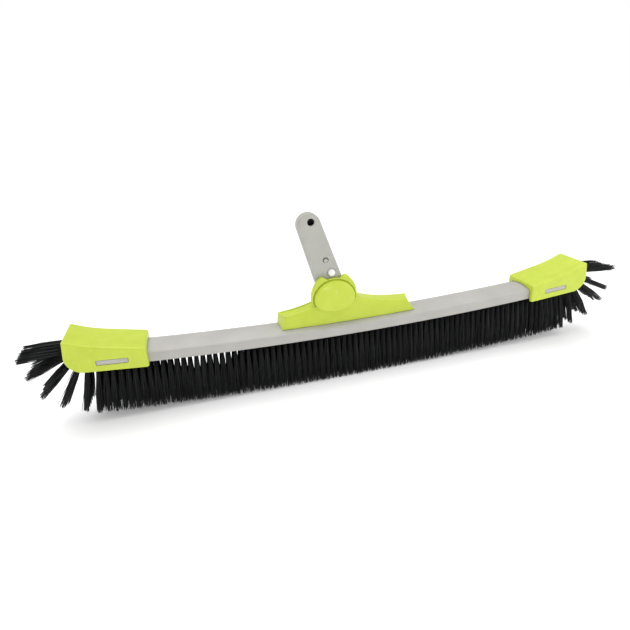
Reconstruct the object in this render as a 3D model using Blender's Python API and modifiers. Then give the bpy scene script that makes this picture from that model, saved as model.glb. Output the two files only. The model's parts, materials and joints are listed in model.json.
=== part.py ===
"""Pool wall brush: a bowed aluminium rail with a bristle block, fanned bristle ends, two end caps,
and a handle bracket whose pole tongue rocks between two stop lugs.

Metres. +Z up, +X along the head, -Y towards the side with the lock button. The brush stands on its
bristle tips, and the origin is on that surface under the middle of the head.
"""
import math

import bmesh
import bpy
from mathutils import Matrix, Vector

# ---- driving dimensions -------------------------------------------------------------------------
BOW_RADIUS = 3.70            # the whole head is bent up along this arc
GAP = 0.0003                 # room left between neighbouring pieces

RAIL_LENGTH = 0.564
RAIL_DEPTH = 0.038
RAIL_LOW = 0.057             # underside of the rail, at the middle of the head
RAIL_SIDE = 0.0105           # height of its side walls
RAIL_CROWN = 0.003           # extra height of the rounded top
RAIL_WALL = 0.0016
LIP_WIDTH = 0.0028           # lips under the bristle block, from the outer face
LIP_HEIGHT = 0.0009
BOW_STEPS = 24               # straight stretches along the rail

BLOCK_LOW = RAIL_LOW + 0.0015
BLOCK_HEIGHT = 0.0071
BLOCK_DEPTH = RAIL_DEPTH - 2 * (RAIL_WALL + GAP)
FAN_X = 0.285                # middle of the round end of the block
FAN_ROOT = 0.019             # its radius
# Tufts of each fan: degrees out from straight down, and the reach from that middle to the tips.
FANS = {"left": ((11.5, 0.0745), (30, 0.0730), (48.5, 0.0720), (68, 0.0665), (87, 0.0655)),
        "right": ((14.5, 0.0750), (32, 0.0775), (53, 0.0760), (66, 0.0735), (88, 0.0725))}
FAN_STRIP = (3, -82)         # ends of the strip that ties their roots, in degrees from level

TUFT_PITCH = 0.00696
TUFT_COLUMNS = 81
ROW_COUNT = 5
TUFT_DEPTH = 0.0044
TUFT_ROOT = 0.0042           # width of a tuft where it leaves the block
TUFT_TIP = 0.0060            # and at its tips
ROOT_STRIP = 0.0010          # band that ties the roots of one row together
SPREAD_FROM = 0.235          # beyond this the columns lean out, towards the fan
SPREAD_ANGLE = 5.5           # extra lean of the last column, in degrees

CAP_INNER = 0.228
CAP_END = 0.306
CAP_DEPTH = 0.0478
CAP_WALL = 0.0035
CAP_CORNER = 0.018           # radius of the lower outer corner
CAP_INNER_CORNER = 0.0025    # radius of the lower inner corner
CAP_LOW = (0.0604, 0.0653)   # height of the lower edge at its inner end and at the corner
CAP_TOP = (0.0822, 0.1027)   # height of the top at its inner end and at the tip
CAP_KNEE = (0.70, 0.0032)    # where its slope changes: share of the way out, drop below the chord
CAP_LIP = 0.0025             # the top's tip stops this far short of the end face
CAP_EDGE = 0.0016            # rounding of its edges
CAP_OVERLAP = 0.002          # the room for the fan starts this far inside the rail's end
WINDOW_X = 0.2622            # middle of the key window
WINDOW_SIZE = (0.0306, 0.0056)
KEY_SIZE = (0.0299, 0.0049)
WINDOW_LOW = 0.0611          # underside of the window, before the bow

BASE_HALF = 0.0085           # half the depth of the bracket's base, at the height BASE_WAIST
BASE_WAIST = 0.0875
BASE_FLARE = 0.135           # how fast it widens towards the rail
BASE_LEFT = -0.0870
BASE_RIGHT = 0.0787
BASE_CUT = (0.0010, 0.0065)  # how far its front corners are cut back, at the bottom and the top
PIVOT = Vector((-0.0222, 0.0, 0.0990))
CHEEK_FRONT = -0.0130        # faces of the hub, front to back
RIM_FRONT = -0.0095
SLOT_FRONT = -0.0043
SLOT_BACK = 0.0083
CHEEK_BACK = 0.0135
DISC_HALF = 0.0238           # half the width of the oval disc
DISC_UPPER = 0.0222          # height of its upper half
DISC_LOWER = 0.0147          # height of its lower half
NOTCH_RADIUS = 0.0240        # floor of the notch between the stop lugs
REAR_RADIUS = 0.0205         # of the rear cheek, which stays below the tongue's cover
RIM_RADIUS = 0.0266
LUG_RADIUS = 0.0308
NOTCH_HALF = 22.5            # half the opening between the stop lugs, in degrees
LUG_SLOPE = (-3.0, 2.2)      # where their inner sides start and end, from there
LUG_SPAN = 9.0
SLOT_RADIUS = 0.0188         # round floor of the tongue's slot
SLOT_DIP = 0.0041            # that floor ends this far below the pivot
SLOT_SIDE = 0.0284           # half width of the slot above it
CHEEK_EDGE = 0.0009          # rounding of the hub's two discs
BASE_EDGE = 0.0010           # rounding of the base

TONGUE_LEAN = -17.2          # degrees about +Y at rest
TONGUE_FRONT = -0.0040
TONGUE_BACK = 0.0080
TONGUE_ROOT = 0.0160         # radius of the root
TONGUE_TIP = 0.0131          # radius of the tip
ROOT_CENTRE = (0.0025, 0.0)  # the tongue's middle line passes to the right of the pivot
TIP_CENTRE = (0.0025, 0.0873)
TONGUE_WALL = 0.0025
TONGUE_FACE = 0.0022         # thickness of its front wall
COVER_THICK = 0.0020
CLIP_HOLE = (0.0054, 0.0902)
CLIP_RADIUS = 0.0039
CAVITY_LOW = (0.0025, 0.0330)   # lower end of the hollow behind the front wall
CAVITY_RADIUS = 0.0121
RIVET_AT = (0.0064, 0.0438)
RIVET_RADIUS = 0.0025
SPRING_THICK = 0.0008
BUTTON_AT = (0.0077, 0.0290)
BUTTON_RADIUS = 0.0040
BUTTON_PROUD = 0.0039
FLANGE_RADIUS = 0.0049
POCKET_RADIUS = 0.0096
POCKET_DEPTH = 0.0011
WASHER_THICK = 0.0008
BUSH_RADIUS = 0.0050
SCREW_RADIUS = 0.0030

BRACKET_SCREWS = (-0.068, -0.046, 0.026, 0.060)
SCREW_SEAT = RAIL_LOW + RAIL_SIDE + RAIL_CROWN   # top of the rail, before the bow
CLEARANCE_HOLE = 0.0024      # radius of the holes in the rail
PILOT_RADIUS = 0.0021        # of those in the bracket
PILOT_DEPTH = 0.0098
PIVOT_BORE = 0.0098          # blind depth of the pivot hole in the front cheek
FAR = 0.04                   # how far an open cutter runs past what it cuts

LIME = (0.60, 0.72, 0.09, 1.0)
GREY = (0.52, 0.52, 0.48, 1.0)
ALUMINIUM = (0.62, 0.60, 0.56, 1.0)
BLACK = (0.012, 0.013, 0.014, 1.0)
STEEL = (0.55, 0.55, 0.56, 1.0)
WHITE = (0.88, 0.88, 0.86, 1.0)
BRASS = (0.60, 0.44, 0.16, 1.0)

# An (x, z) outline turned to face along y, and a (y, z) profile turned to run along x.
FACING_FRONT = Matrix.Rotation(math.radians(90), 4, 'X')
ALONG_RAIL = Matrix(((0, 0, 1, 0), (1, 0, 0, 0), (0, 1, 0, 0), (0, 0, 0, 1)))

SIDES = ((-1, "left"), (1, "right"))


# ---- collections, materials, modifiers ----------------------------------------------------------
def new_collection(name):
    collection = bpy.data.collections.new(name)
    bpy.context.scene.collection.children.link(collection)
    return collection


def material(name, colour, roughness, metallic=0.0):
    mat = bpy.data.materials.new(name)
    mat.use_nodes = True
    mat.diffuse_color = colour
    shader = mat.node_tree.nodes["Principled BSDF"]
    shader.inputs["Base Color"].default_value = colour
    shader.inputs["Roughness"].default_value = roughness
    shader.inputs["Metallic"].default_value = metallic
    return mat


def place(obj, collection, parent=None):
    collection.objects.link(obj)
    obj.parent = parent
    return obj


def as_cutter(obj):
    obj.hide_render = True
    obj.display_type = 'WIRE'
    return obj


def boolean(obj, other, operation):
    modifier = obj.modifiers.new(operation.title() + " " + other.name, 'BOOLEAN')
    modifier.operation = operation
    modifier.object = other
    modifier.use_self = True
    return obj


def bevel(obj, width, segments=2):
    modifier = obj.modifiers.new("Rounded edges", 'BEVEL')
    modifier.width = width
    modifier.segments = segments
    modifier.limit_method = 'ANGLE'
    modifier.angle_limit = math.radians(35)
    return obj


# ---- outlines -----------------------------------------------------------------------------------
def bow(x):
    """Rise of the head's arc at x."""
    return BOW_RADIUS - math.sqrt(BOW_RADIUS ** 2 - x ** 2)


def on_circle(centre, radius, angle):
    """A point on a circle; the angle is in degrees, anticlockwise from +x."""
    turn = math.radians(angle)
    return (centre[0] + radius * math.cos(turn), centre[1] + radius * math.sin(turn))


def arc(centre, radius, start, end, steps):
    """Points on a circle between two angles, both ends included."""
    return [on_circle(centre, radius, start + (end - start) * i / steps) for i in range(steps + 1)]


def bezier(start, control, end, steps):
    """Points on a quadratic curve, both ends included."""
    points = []
    for i in range(steps + 1):
        t = i / steps
        weights = ((1 - t) ** 2, 2 * t * (1 - t), t ** 2)
        points.append(tuple(sum(w * p[k] for w, p in zip(weights, (start, control, end))) for k in (0, 1)))
    return points


def polar(angle, radius):
    """Offset from the pivot at an angle in degrees, clockwise from straight up."""
    return (radius * math.sin(math.radians(angle)), radius * math.cos(math.radians(angle)))


def capsule(low, low_radius, high, high_radius, steps=12):
    """Two unequal circles and their outer tangents."""
    axis = Vector(high) - Vector(low)
    heading = math.degrees(math.atan2(axis.y, axis.x))
    lean = math.degrees(math.acos((low_radius - high_radius) / axis.length))
    top = arc(high, high_radius, heading - lean, heading + lean, steps)
    return top + arc(low, low_radius, heading + lean, heading + 360 - lean, steps)


def tuft(root, lean, reach, root_width, tip_width):
    """Four corners of one flat tuft that leaves root at a lean, in degrees out from straight down."""
    out = Vector((math.sin(math.radians(lean)), -math.cos(math.radians(lean))))
    across = Vector((-out.y, out.x))
    root, tip = Vector(root), Vector(root) + out * reach
    corners = (root - across * root_width / 2, tip - across * tip_width / 2,
               tip + across * tip_width / 2, root + across * root_width / 2)
    return [tuple(corner) for corner in corners]


# ---- solids -------------------------------------------------------------------------------------
def flat_mesh(name, outline, thickness, turn):
    """A closed outline given a thickness, turned to face along an axis."""
    curve = bpy.data.curves.new(name, 'CURVE')
    curve.dimensions = '2D'
    curve.fill_mode = 'BOTH'
    curve.extrude = thickness / 2
    spline = curve.splines.new('POLY')
    spline.points.add(len(outline) - 1)
    for point, (a, b) in zip(spline.points, outline):
        point.co = (a, b, 0.0, 1.0)
    spline.use_cyclic_u = True
    guide = bpy.data.objects.new(name, curve)
    bpy.context.scene.collection.objects.link(guide)
    graph = bpy.context.evaluated_depsgraph_get()
    mesh = bpy.data.meshes.new_from_object(guide.evaluated_get(graph))
    bpy.data.objects.remove(guide)
    mesh.name = name
    mesh.transform(turn)
    shape = bmesh.new()
    shape.from_mesh(mesh)
    bmesh.ops.remove_doubles(shape, verts=shape.verts, dist=1e-6)
    bmesh.ops.recalc_face_normals(shape, faces=shape.faces)
    shape.to_mesh(mesh)
    shape.free()
    return mesh


def plate(name, outline, front, back, mat=None):
    """An (x, z) outline that fills the depth from y = front to y = back."""
    mesh = flat_mesh(name, outline, back - front, FACING_FRONT)
    mesh.transform(Matrix.Translation((0, (front + back) / 2, 0)))
    if mat:
        mesh.materials.append(mat)
    return bpy.data.objects.new(name, mesh)


def bowed_bar(name, profile, length, mat=None):
    """A (y, z) profile run along x, cut into short stretches and bent up along the head's arc."""
    mesh = flat_mesh(name, profile, length, ALONG_RAIL)
    shape = bmesh.new()
    shape.from_mesh(mesh)
    for i in range(1, BOW_STEPS):
        geometry = shape.verts[:] + shape.edges[:] + shape.faces[:]
        station = Vector((-length / 2 + length * i / BOW_STEPS, 0, 0))
        bmesh.ops.bisect_plane(shape, geom=geometry, plane_co=station, plane_no=(1, 0, 0))
    for vert in shape.verts:
        vert.co.z += bow(vert.co.x)
    shape.to_mesh(mesh)
    shape.free()
    if mat:
        mesh.materials.append(mat)
    return bpy.data.objects.new(name, mesh)


def turned(name, profile, mat=None, ring=False, steps=24):
    """A (radius, height) profile turned about z; a ring's profile is a closed loop."""
    mesh = bpy.data.meshes.new(name)
    edges = [(i, i + 1) for i in range(len(profile) - 1)]
    if ring:
        edges.append((len(profile) - 1, 0))
    mesh.from_pydata([(r, 0, h) for r, h in profile], edges, [])
    if mat:
        mesh.materials.append(mat)
    obj = bpy.data.objects.new(name, mesh)
    screw = obj.modifiers.new("Turned", 'SCREW')
    screw.steps = screw.render_steps = steps
    screw.use_merge_vertices = True
    screw.merge_threshold = 1e-5
    screw.use_smooth_shade = False
    return obj


def rod(name, radius, front, back, at, steps=32):
    """A plain cylinder along y."""
    bpy.ops.mesh.primitive_cylinder_add(vertices=steps, radius=radius, depth=back - front)
    obj = bpy.context.object
    obj.name = name
    obj.data.transform(Matrix.Translation((at[0], (front + back) / 2, at[1])) @ FACING_FRONT)
    for collection in obj.users_collection:
        collection.objects.unlink(obj)
    return obj


def screw_hole(name, radius, x, up, cutters):
    """A cutter through the rail's top at x, going up from 6 mm under it."""
    down = -0.006
    hole = turned(name, [(0, up), (radius, up), (radius, down), (0, down)])
    hole.location = (x, 0, SCREW_SEAT + bow(x))
    return place(as_cutter(hole), cutters)


def block(name, low, high, turn=0.0):
    """A box between two corners, turned about y through its middle by an angle in radians."""
    bpy.ops.mesh.primitive_cube_add(size=1.0)
    obj = bpy.context.object
    obj.name = name
    low, high = Vector(low), Vector(high)
    size = Matrix.Diagonal((*(high - low), 1.0))
    obj.data.transform(Matrix.Translation((low + high) / 2) @ Matrix.Rotation(turn, 4, 'Y') @ size)
    for collection in obj.users_collection:
        collection.objects.unlink(obj)
    return obj


def smooth(obj):
    """Smooth shading, with the edges of round pieces left sharp."""
    obj.data.shade_smooth()
    obj.data.set_sharp_from_angle(angle=math.radians(35))


# ---- rail and bristles --------------------------------------------------------------------------
def crown(half, side_top, steps=8):
    """The rounded top of the rail, from +half to -half."""
    points = []
    for i in range(steps + 1):
        y = half - 2 * half * i / steps
        points.append((y, side_top + RAIL_CROWN * (1 - (y / half) ** 2)))
    return points


def back_rail(parts, cutters, key_slots, mat):
    """Inverted channel with a rounded top and two lips, with a slot for each cap key."""
    half = RAIL_DEPTH / 2
    inside = half - RAIL_WALL
    lip = half - LIP_WIDTH
    top = RAIL_LOW + RAIL_SIDE
    lip_top = RAIL_LOW + LIP_HEIGHT
    outer = [(half, RAIL_LOW)] + crown(half, top) + [(-half, RAIL_LOW)]
    left = [(-lip, RAIL_LOW), (-lip, lip_top), (-inside, lip_top)]
    right = [(inside, lip_top), (lip, lip_top), (lip, RAIL_LOW)]
    inner = crown(inside, top - RAIL_WALL)[::-1]
    rail = place(bowed_bar("back_rail", outer + left + inner + right, RAIL_LENGTH, mat), parts)
    for slot in key_slots:
        boolean(rail, slot, 'DIFFERENCE')
    for i, x in enumerate(BRACKET_SCREWS, 1):
        boolean(rail, screw_hole(f"rail_hole_{i}", CLEARANCE_HOLE, x, 0.006, cutters), 'DIFFERENCE')


def window(name, side, size):
    """The box that a cap key, or the slot for one, takes up; it leans with the bow."""
    x = side * WINDOW_X
    low = WINDOW_LOW + bow(x) - (size[1] - WINDOW_SIZE[1]) / 2
    depth = CAP_DEPTH / 2 - GAP if size is KEY_SIZE else CAP_DEPTH
    lean = -math.asin(x / BOW_RADIUS)
    return block(name, (x - size[0] / 2, -depth, low), (x + size[0] / 2, depth, low + size[1]), lean)


def rail_room(cutters):
    """What the caps and the bracket leave free: the rail, grown by the gap, and all below it."""
    half = RAIL_DEPTH / 2 + GAP
    low = RAIL_LOW - 0.03
    profile = [(half, low)] + crown(half, RAIL_LOW + RAIL_SIDE + GAP) + [(-half, low)]
    return place(as_cutter(bowed_bar("rail_room", profile, RAIL_LENGTH + 2 * GAP)), cutters)


def fan_centre(side):
    return (side * FAN_X, BLOCK_LOW + bow(FAN_X) + FAN_ROOT)


def bristle_block(parts, key_slots, mat):
    """The plastic core: a bowed bar with a rounded end at each side, notched for the cap keys."""
    xs = [FAN_X * i / 14 for i in range(15)]
    end_x = RAIL_LENGTH / 2 + 2 * GAP
    centre = fan_centre(1)
    lower = [(x, BLOCK_LOW + bow(x)) for x in xs[:-1]] + arc(centre, FAN_ROOT, -90, 0, 10)
    step = [(end_x, centre[1]), (end_x, BLOCK_LOW + BLOCK_HEIGHT + bow(end_x))]
    upper = [(x, BLOCK_LOW + BLOCK_HEIGHT + bow(x)) for x in xs[-2::-1]]
    half = lower + step + upper
    outline = half + [(-x, z) for x, z in half[-2:0:-1]]
    core = place(plate("bristle_block", outline, -BLOCK_DEPTH / 2, BLOCK_DEPTH / 2, mat), parts)
    for slot in key_slots:
        boolean(core, slot, 'DIFFERENCE')


def column_lean(x):
    """Degrees that the column at x leans outwards: square to the arc, and more near the fan."""
    beyond = max(0.0, (abs(x) - SPREAD_FROM) / (TUFT_COLUMNS // 2 * TUFT_PITCH - SPREAD_FROM))
    return math.degrees(math.asin(x / BOW_RADIUS)) + math.copysign(SPREAD_ANGLE * beyond ** 1.5, x)


def row_y(index):
    return (index - (ROW_COUNT - 1) / 2) * TUFT_PITCH


def bristle_rows(parts, mat):
    """One comb a row: a thin strip under the block, and a tuft for each column."""
    strip_top = BLOCK_LOW - GAP
    strip_low = strip_top - ROOT_STRIP
    columns = [(i - TUFT_COLUMNS // 2) * TUFT_PITCH for i in range(TUFT_COLUMNS)]
    outline = []
    for x in columns:
        root = (x, strip_low + bow(x))
        outline += tuft(root, column_lean(x), strip_low, TUFT_ROOT, TUFT_TIP)
    edge = columns[-1] + TUFT_ROOT / 2 + 2 * GAP
    back = [edge - 2 * edge * i / BOW_STEPS for i in range(BOW_STEPS + 1)]
    outline += [(x, strip_top + bow(x)) for x in back]
    for i in range(ROW_COUNT):
        name = f"bristle_row_{i + 1}"
        place(plate(name, outline, row_y(i) - TUFT_DEPTH / 2, row_y(i) + TUFT_DEPTH / 2, mat), parts)


def end_fans(parts, side, word, mat):
    """The tufts around one end of the block, one comb a row."""
    centre = Vector(fan_centre(1))
    inner = FAN_ROOT + GAP
    outer = inner + ROOT_STRIP
    outline = []
    for angle, reach in FANS[word]:
        out = Vector((math.sin(math.radians(angle)), -math.cos(math.radians(angle))))
        outline += tuft(centre + out * outer * 0.995, angle, reach - outer, TUFT_ROOT, TUFT_TIP)
    high, low = FAN_STRIP
    outline += [on_circle(centre, outer, high)] + arc(centre, inner, high, low, 10)
    outline.append(on_circle(centre, outer, low))
    outline = [(side * x, z) for x, z in outline]
    for i in range(ROW_COUNT):
        name = f"end_fan_{word}_{i + 1}"
        place(plate(name, outline, row_y(i) - TUFT_DEPTH / 2, row_y(i) + TUFT_DEPTH / 2, mat), parts)


# ---- end caps -----------------------------------------------------------------------------------
def cap_top(grow=0.0, steps=6):
    """The top line, steep at the tip and then flatter, from the tip inwards, moved down by grow."""
    start = Vector((CAP_END - CAP_LIP, CAP_TOP[1] - grow))
    end = Vector((CAP_INNER, CAP_TOP[0] - grow))
    knee = end.lerp(start, CAP_KNEE[0]) - Vector((0, CAP_KNEE[1]))
    turn = bezier(start.lerp(knee, 0.4), knee, knee.lerp(end, 0.45), steps)
    return [tuple(start)] + turn + [tuple(end)]


def end_cap(parts, cutters, room, slot, side, word, mat):
    """A hood over the rail's end: top and two walls, open below and at the end for the bristles."""
    corner = (CAP_END - CAP_CORNER, CAP_LOW[1] + CAP_CORNER)
    inner = (CAP_INNER + CAP_INNER_CORNER, CAP_LOW[0] + CAP_INNER_CORNER)
    outline = arc(inner, CAP_INNER_CORNER, 180, 270, 3) + arc(corner, CAP_CORNER, -90, 0, 8) + cap_top()
    shape = [(side * x, z) for x, z in outline]
    cap = place(plate(f"end_cap_{word}", shape, -CAP_DEPTH / 2, CAP_DEPTH / 2, mat), parts)
    bevel(cap, CAP_EDGE, 3)
    boolean(cap, room, 'DIFFERENCE')
    start = RAIL_LENGTH / 2 - CAP_OVERLAP
    end = CAP_END + FAR
    low = CAP_LOW[0] - FAR
    roof = [(x, z) for x, z in cap_top(CAP_WALL) if x > start]
    hollow = [(start, low), (end, low), (end, roof[0][1] + CAP_WALL)] + roof + [(start, roof[-1][1])]
    hollow = [(side * x, z) for x, z in hollow]
    inside = CAP_DEPTH / 2 - CAP_WALL
    fan_room = place(as_cutter(plate(f"fan_room_{word}", hollow, -inside, inside)), cutters)
    boolean(cap, fan_room, 'DIFFERENCE')
    boolean(cap, slot, 'DIFFERENCE')


def cap_key(parts, side, word, mat):
    """The flat key pushed through cap, rail and block; its ends fill the two windows."""
    key = place(window(f"cap_key_{word}", side, KEY_SIZE), parts)
    key.data.materials.append(mat)


# ---- handle bracket -----------------------------------------------------------------------------
def oval(half, upper, lower, steps=24):
    """Two half ellipses, one above the pivot and one below it."""
    points = [(x, z * upper / half) for x, z in arc((0, 0), half, 0, 180, steps)]
    points += [(x, z * lower / half) for x, z in arc((0, 0), half, 180, 360, steps)[1:-1]]
    return [(PIVOT.x + x, PIVOT.z + z) for x, z in points]


def rim_outline():
    """The hub's rim: a notch on top between two stop lugs, falling away to the rim's own radius."""
    lug_end = NOTCH_HALF + LUG_SPAN
    floor_end, lug_start = (NOTCH_HALF + angle for angle in LUG_SLOPE)
    right = [polar(floor_end * i / 4, NOTCH_RADIUS) for i in range(5)]
    right += [polar(lug_start, LUG_RADIUS), polar(lug_end, LUG_RADIUS - 0.0004)]
    for i in range(1, 7):
        share = i / 6
        right.append(polar(lug_end + (90 - lug_end) * share,
                           LUG_RADIUS - (LUG_RADIUS - RIM_RADIUS) * share ** 0.7))
    flatten = (DISC_LOWER + 0.0013) / RIM_RADIUS
    lower = [(x, z * flatten) for x, z in arc((0, 0), RIM_RADIUS, 0, -180, 20)[1:-1]]
    points = right + lower + [(-x, z) for x, z in right[:0:-1]]
    return [(PIVOT.x + x, PIVOT.z + z) for x, z in points]


def slot_outline():
    """Room for the tongue: round under its root, and wide above for its swing."""
    dip = math.degrees(math.asin(SLOT_DIP / SLOT_RADIUS))
    points = arc((0, 0), SLOT_RADIUS, 180 + dip, 360 - dip, 20)
    points += [(SLOT_SIDE, -SLOT_DIP), (SLOT_SIDE, FAR), (-SLOT_SIDE, FAR), (-SLOT_SIDE, -SLOT_DIP)]
    return [(PIVOT.x + x, PIVOT.z + z) for x, z in points]


def base_outline():
    """The saddle on the rail: two wings that sweep up to the hub."""
    low = RAIL_LOW + RAIL_SIDE
    left = bezier((PIVOT.x - 0.016, 0.0965), (-0.0560, 0.0880), (BASE_LEFT + 0.0018, 0.0856), 8)
    right = bezier((BASE_RIGHT - 0.0066, 0.0852), (0.0270, 0.0868), (PIVOT.x + 0.028, 0.0985), 8)
    return [(BASE_LEFT, low), (BASE_RIGHT, low)] + right + left


def flare_base(mesh):
    """Widens the base towards the rail and cuts the front corners of its two ends back."""
    low = RAIL_LOW + RAIL_SIDE
    for vert in mesh.vertices:
        at_end = vert.co.x < BASE_LEFT + 0.003 or vert.co.x > BASE_RIGHT - 0.008
        if at_end and vert.co.y < 0:
            share = min(1.0, (vert.co.z - low) / (BASE_WAIST - low))
            cut = BASE_CUT[0] + (BASE_CUT[1] - BASE_CUT[0]) * share
            vert.co.x -= math.copysign(cut, vert.co.x)
        vert.co.y = math.copysign(BASE_HALF + BASE_FLARE * (BASE_WAIST - vert.co.z), vert.co.y)


def handle_bracket(parts, cutters, room, mat):
    """Base, two cheeks and rim in one moulding, slotted for the tongue and bored for its screws."""
    bracket = place(plate("handle_bracket", base_outline(), -BASE_HALF, BASE_HALF, mat), parts)
    flare_base(bracket.data)
    bevel(bracket, BASE_EDGE)
    pieces = (plate("front_disc", oval(DISC_HALF, DISC_UPPER, DISC_LOWER), CHEEK_FRONT, -0.006),
              plate("hub_rim", rim_outline(), RIM_FRONT, -0.001),
              plate("rear_cheek", oval(REAR_RADIUS, REAR_RADIUS, REAR_RADIUS), 0.004, CHEEK_BACK))
    bevel(pieces[0], CHEEK_EDGE)
    bevel(pieces[2], CHEEK_EDGE)
    for piece in pieces:
        boolean(bracket, place(as_cutter(piece), cutters), 'UNION')
    slot = plate("tongue_slot", slot_outline(), SLOT_FRONT, SLOT_BACK)
    hole = rod("pivot_hole", SCREW_RADIUS + GAP, -PIVOT_BORE, CHEEK_BACK + FAR, (PIVOT.x, PIVOT.z), 24)
    for cutter in (slot, hole):
        boolean(bracket, place(as_cutter(cutter), cutters), 'DIFFERENCE')
    boolean(bracket, room, 'DIFFERENCE')
    for i, x in enumerate(BRACKET_SCREWS, 1):
        boolean(bracket, screw_hole(f"pilot_{i}", PILOT_RADIUS, x, PILOT_DEPTH, cutters), 'DIFFERENCE')


def bracket_screws(parts, mat):
    """Pan head screws under the rail's top, driven up into the bracket."""
    profile = [(0, 0.0092), (0.0012, 0.0092), (0.0018, 0.0080), (0.0018, -0.0019),
               (0.0034, -0.0019), (0.0036, -0.0026), (0.0030, -0.0034), (0, -0.0038)]
    for i, x in enumerate(BRACKET_SCREWS, 1):
        screw = place(turned(f"bracket_screw_{i}", profile, mat, steps=20), parts)
        screw.location = (x, 0, SCREW_SEAT + bow(x))


def pivot_screw(parts, mat):
    """Shoulder screw from the back, blind in the front cheek; local +z points to the front."""
    head = CHEEK_BACK + GAP
    profile = [(0, 0.0094), (0.0024, 0.0094), (SCREW_RADIUS, 0.0088), (SCREW_RADIUS, -head),
               (0.0052, -head), (0.0056, -head - 0.0006), (0.0056, -head - 0.0022),
               (0.0044, -head - 0.0030), (0, -head - 0.0030)]
    screw = place(turned("pivot_screw", profile, mat, steps=32), parts)
    screw.rotation_euler.x = math.radians(90)
    screw.location = PIVOT


# ---- tongue and lock ----------------------------------------------------------------------------
def pole_tongue(parts, cutters, pivot, mat):
    """Hollow tongue, open at the back, with a solid root bored for the bush."""
    tongue = place(plate("pole_tongue", capsule(ROOT_CENTRE, TONGUE_ROOT, TIP_CENTRE, TONGUE_TIP, 20),
                         TONGUE_FRONT, TONGUE_BACK, mat), parts, pivot)
    bevel(tongue, 0.0022, 4)
    cavity = plate("tongue_cavity", cavity_outline(0), TONGUE_FRONT + TONGUE_FACE, TONGUE_BACK + FAR)
    pockets = [rod("front_pocket", POCKET_RADIUS, TONGUE_FRONT - FAR, TONGUE_FRONT + POCKET_DEPTH, (0, 0)),
               rod("rear_pocket", POCKET_RADIUS, TONGUE_BACK - POCKET_DEPTH, TONGUE_BACK + FAR, (0, 0))]
    holes = [rod("bush_bore", BUSH_RADIUS + GAP, -FAR, FAR, (0, 0)),
             rod("clip_hole", CLIP_RADIUS, -FAR, 0.0, CLIP_HOLE),
             rod("rivet_hole", RIVET_RADIUS + 2 * GAP, -FAR, 0.0, RIVET_AT, 24),
             rod("button_hole", BUTTON_RADIUS + GAP, -FAR, 0.0, BUTTON_AT)]
    for cutter in [cavity] + pockets + holes:
        boolean(tongue, place(as_cutter(cutter), cutters, pivot), 'DIFFERENCE')


def cavity_outline(shrink):
    """Inside of the tongue's side walls, above its root."""
    return capsule(CAVITY_LOW, CAVITY_RADIUS - shrink, TIP_CENTRE, TONGUE_TIP - TONGUE_WALL - shrink)


def tongue_cover(parts, pivot, mat):
    """Flat cover that closes the back of the tongue."""
    back = TONGUE_BACK - GAP / 3
    place(plate("tongue_cover", cavity_outline(GAP), back - COVER_THICK, back, mat), parts, pivot)


def lock_button(parts, pivot, mat):
    """White spring button with a domed head and a flange behind the tongue's front wall."""
    head = -TONGUE_FRONT + BUTTON_PROUD
    flange = -(TONGUE_FRONT + TONGUE_FACE) - GAP
    dome = [(BUTTON_RADIUS * math.sin(math.radians(a)), head - 0.0018 * (1 - math.cos(math.radians(a))))
            for a in range(0, 91, 15)]
    profile = dome + [(BUTTON_RADIUS, flange), (FLANGE_RADIUS, flange), (FLANGE_RADIUS, flange - 0.0012),
                      (0, flange - 0.0012)]
    button = place(turned("lock_button", profile, mat, steps=32), parts, pivot)
    button.rotation_euler.x = math.radians(90)
    button.location = (BUTTON_AT[0], 0, BUTTON_AT[1])


def lock_spring(parts, cutters, pivot, mat):
    """Leaf spring held by the rivet; its free end bears on the button."""
    outline = capsule(BUTTON_AT, 0.0026, RIVET_AT, 0.0034, 10)
    spring = place(plate("lock_spring", outline, 0.0, SPRING_THICK, mat), parts, pivot)
    hole = place(as_cutter(rod("spring_hole", 0.0019, -FAR, FAR, RIVET_AT, 20)), cutters, pivot)
    boolean(spring, hole, 'DIFFERENCE')


def spring_rivet(parts, pivot, mat):
    """Rivet through the tongue's front wall and the leaf spring."""
    head = -TONGUE_FRONT - 0.0007
    neck = 0.0016
    profile = [(0, head), (neck, head - 0.0002), (RIVET_RADIUS, head - 0.0009), (RIVET_RADIUS, GAP),
               (neck, GAP), (neck, -SPRING_THICK - GAP), (0.0030, -SPRING_THICK - GAP),
               (0.0030, -0.0018), (0.0022, -0.0023), (0, -0.0025)]
    rivet = place(turned("spring_rivet", profile, mat, steps=24), parts, pivot)
    rivet.rotation_euler.x = math.radians(90)
    rivet.location = (RIVET_AT[0], 0, RIVET_AT[1])


def ring(name, inner, outer, front, back, parts, pivot, mat):
    """A washer or bush on the pivot, from y = front to y = back."""
    profile = [(inner, -front), (outer, -front), (outer, -back), (inner, -back)]
    obj = place(turned(name, profile, mat, ring=True, steps=40), parts, pivot)
    obj.rotation_euler.x = math.radians(90)
    return obj


def swivel_parts(parts, pivot, washer_mat, bush_mat):
    """The bush that the tongue turns on, and a friction washer in each of its pockets."""
    ring("pivot_bush", SCREW_RADIUS + GAP, BUSH_RADIUS, TONGUE_FRONT, TONGUE_BACK, parts, pivot, bush_mat)
    inner = BUSH_RADIUS + GAP
    outer = POCKET_RADIUS - GAP
    rear = TONGUE_BACK - WASHER_THICK
    ring("friction_washer_front", inner, outer, TONGUE_FRONT, TONGUE_FRONT + WASHER_THICK,
         parts, pivot, washer_mat)
    ring("friction_washer_rear", inner, outer, rear, TONGUE_BACK, parts, pivot, washer_mat)


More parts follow.
